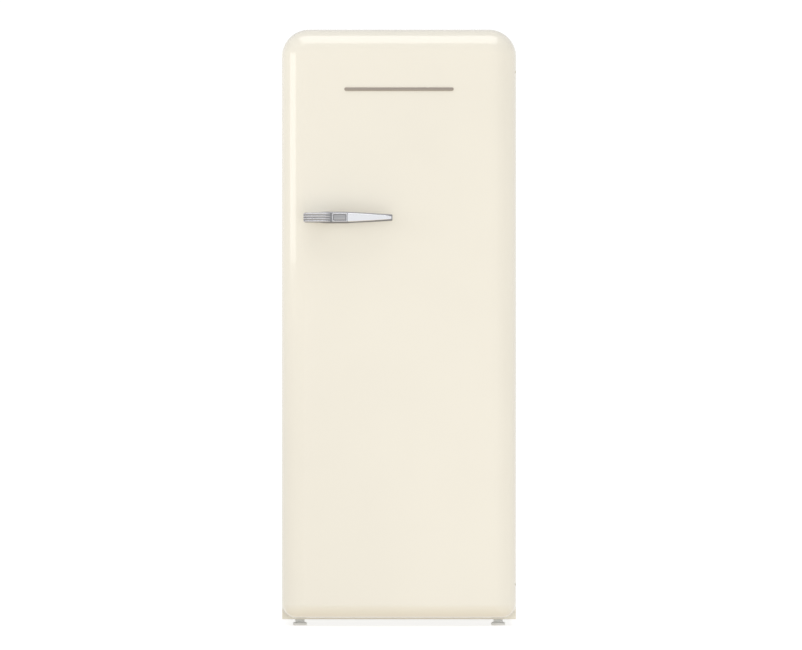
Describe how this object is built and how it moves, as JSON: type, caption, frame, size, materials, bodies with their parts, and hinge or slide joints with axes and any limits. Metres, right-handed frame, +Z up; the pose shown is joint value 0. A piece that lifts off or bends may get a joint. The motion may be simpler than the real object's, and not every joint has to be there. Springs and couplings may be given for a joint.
{
  "type": "refrigerator",
  "caption": "Tall free-standing single-door retro refrigerator with rounded door edges, chrome lever handle, inner freezer box, shelves, vegetable drawer and rear cooling circuit.",
  "frame": {"origin": "on the floor, under the middle of the bounding box", "axes": "+Z up, -Y out of the door's front, +X to the hinge side"},
  "size_m": [0.601, 0.788, 1.53],
  "materials": {
    "cream_enamel": "glossy cream enamel on steel sheet",
    "white_plastic": "smooth white moulded plastic",
    "clear_plastic": "clear moulded plastic",
    "glass": "clear safety glass with a faint green edge",
    "chrome": "bright chrome plating",
    "dark_inset": "dark grey metallic inlay",
    "freezer_lining": "white lining of the freezer box",
    "foam": "rigid insulation foam",
    "zinc_steel": "zinc-coated steel sheet",
    "black_steel": "black lacquered steel",
    "black_plastic": "black moulded plastic",
    "copper": "bare copper tube",
    "grey_rubber": "soft grey seal"
  },
  "bodies": {
    "cabinet": {"outer_cabinet": "cream_enamel", "front_lower_rail": "cream_enamel", "cabinet_insulation": "foam", "inner_liner": "white_plastic", "shelf_trim_upper": "white_plastic", "shelf_trim_lower": "white_plastic", "control_housing": "white_plastic", "drain_tube": "white_plastic", "lamp_cover": "clear_plastic", "glass_shelf_upper": "glass", "glass_shelf_lower": "glass", "crisper_cover": "glass", "lamp_bulb": "glass", "bottle_rack": "chrome", "freezer_box": "freezer_lining", "base_plate": "zinc_steel", "back_panel": "zinc_steel", "machine_bay_panel": "zinc_steel", "compressor_rail": "zinc_steel", "roller_bracket_left": "zinc_steel", "roller_bracket_right": "zinc_steel", "top_hinge_bracket": "zinc_steel", "bottom_hinge_bracket": "zinc_steel", "top_hinge_pin": "zinc_steel", "bottom_hinge_pin": "zinc_steel", "compressor": "black_steel", "condenser_coil": "black_steel", "condenser_wires": "black_steel", "start_relay_cover": "black_plastic", "evaporation_tray": "black_plastic", "mains_inlet": "black_plastic", "wall_spacer_left": "black_plastic", "wall_spacer_right": "black_plastic", "filter_drier": "copper", "suction_line": "copper"},
    "door": {"door_skin": "cream_enamel", "door_insulation": "foam", "door_liner": "white_plastic", "door_gasket": "grey_rubber", "handle_mount": "chrome", "handle_lever": "chrome", "handle_inset": "dark_inset", "badge_bar": "chrome", "dairy_shelf": "clear_plastic", "door_shelf": "clear_plastic", "bottle_shelf": "clear_plastic", "door_shelf_rail": "chrome", "bottle_shelf_rail": "chrome", "top_hinge_bush": "white_plastic", "bottom_hinge_bush": "white_plastic"},
    "dairy_lid": {"dairy_lid": "clear_plastic"},
    "freezer_flap": {"freezer_flap": "white_plastic"},
    "crisper_drawer": {"crisper_drawer": "clear_plastic"},
    "thermostat_knob": {"thermostat_knob": "white_plastic"},
    "switch_plunger": {"switch_plunger": "white_plastic"},
    "foot_left": {"foot_left": "grey_rubber"},
    "foot_right": {"foot_right": "grey_rubber"},
    "roller_left": {"roller_left": "black_plastic"},
    "roller_right": {"roller_right": "black_plastic"}
  },
  "joints": [
    {"name": "door_hinge", "type": "hinge", "parent": "cabinet", "child": "door", "pos_m": [0.2865, -0.279, 0.765], "axis": [0, 0, 1], "range_deg": [0, 115]},
    {"name": "freezer_flap_hinge", "type": "hinge", "parent": "cabinet", "child": "freezer_flap", "pos_m": [0, -0.112, 1.256], "axis": [1, 0, 0], "range_deg": [0, 90]},
    {"name": "crisper_drawer_slide", "type": "slide", "parent": "cabinet", "child": "crisper_drawer", "axis": [0, -1, 0], "range_m": [0, 0.225]},
    {"name": "lamp_switch_travel", "type": "slide", "parent": "cabinet", "child": "switch_plunger", "axis": [0, -1, 0], "range_m": [0, 0.005]},
    {"name": "thermostat_turn", "type": "hinge", "parent": "cabinet", "child": "thermostat_knob", "pos_m": [0.206, -0.06, 1.135], "axis": [1, 0, 0], "range_deg": [0, 270]},
    {"name": "dairy_lid_hinge", "type": "hinge", "parent": "door", "child": "dairy_lid", "pos_m": [0, -0.257, 1.3085], "axis": [1, 0, 0], "range_deg": [0, 80]},
    {"name": "left_foot_screw", "type": "slide", "parent": "cabinet", "child": "foot_left", "axis": [0, 0, -1], "range_m": [0, 0.012]},
    {"name": "right_foot_screw", "type": "slide", "parent": "cabinet", "child": "foot_right", "axis": [0, 0, -1], "range_m": [0, 0.012]},
    {"name": "left_roller_spin", "type": "hinge", "parent": "cabinet", "child": "roller_left", "pos_m": [-0.22, 0.3, 0.0165], "axis": [1, 0, 0], "continuous": true},
    {"name": "right_roller_spin", "type": "hinge", "parent": "cabinet", "child": "roller_right", "pos_m": [0.22, 0.3, 0.0165], "axis": [1, 0, 0], "continuous": true}
  ],
  "couplings": [
    {"joint": "freezer_flap_hinge", "follows": "door_hinge", "ratio": 0.78},
    {"joint": "crisper_drawer_slide", "follows": "door_hinge", "m_per_rad": 0.11},
    {"joint": "lamp_switch_travel", "follows": "door_hinge", "m_per_rad": 0.0024}
  ]
}
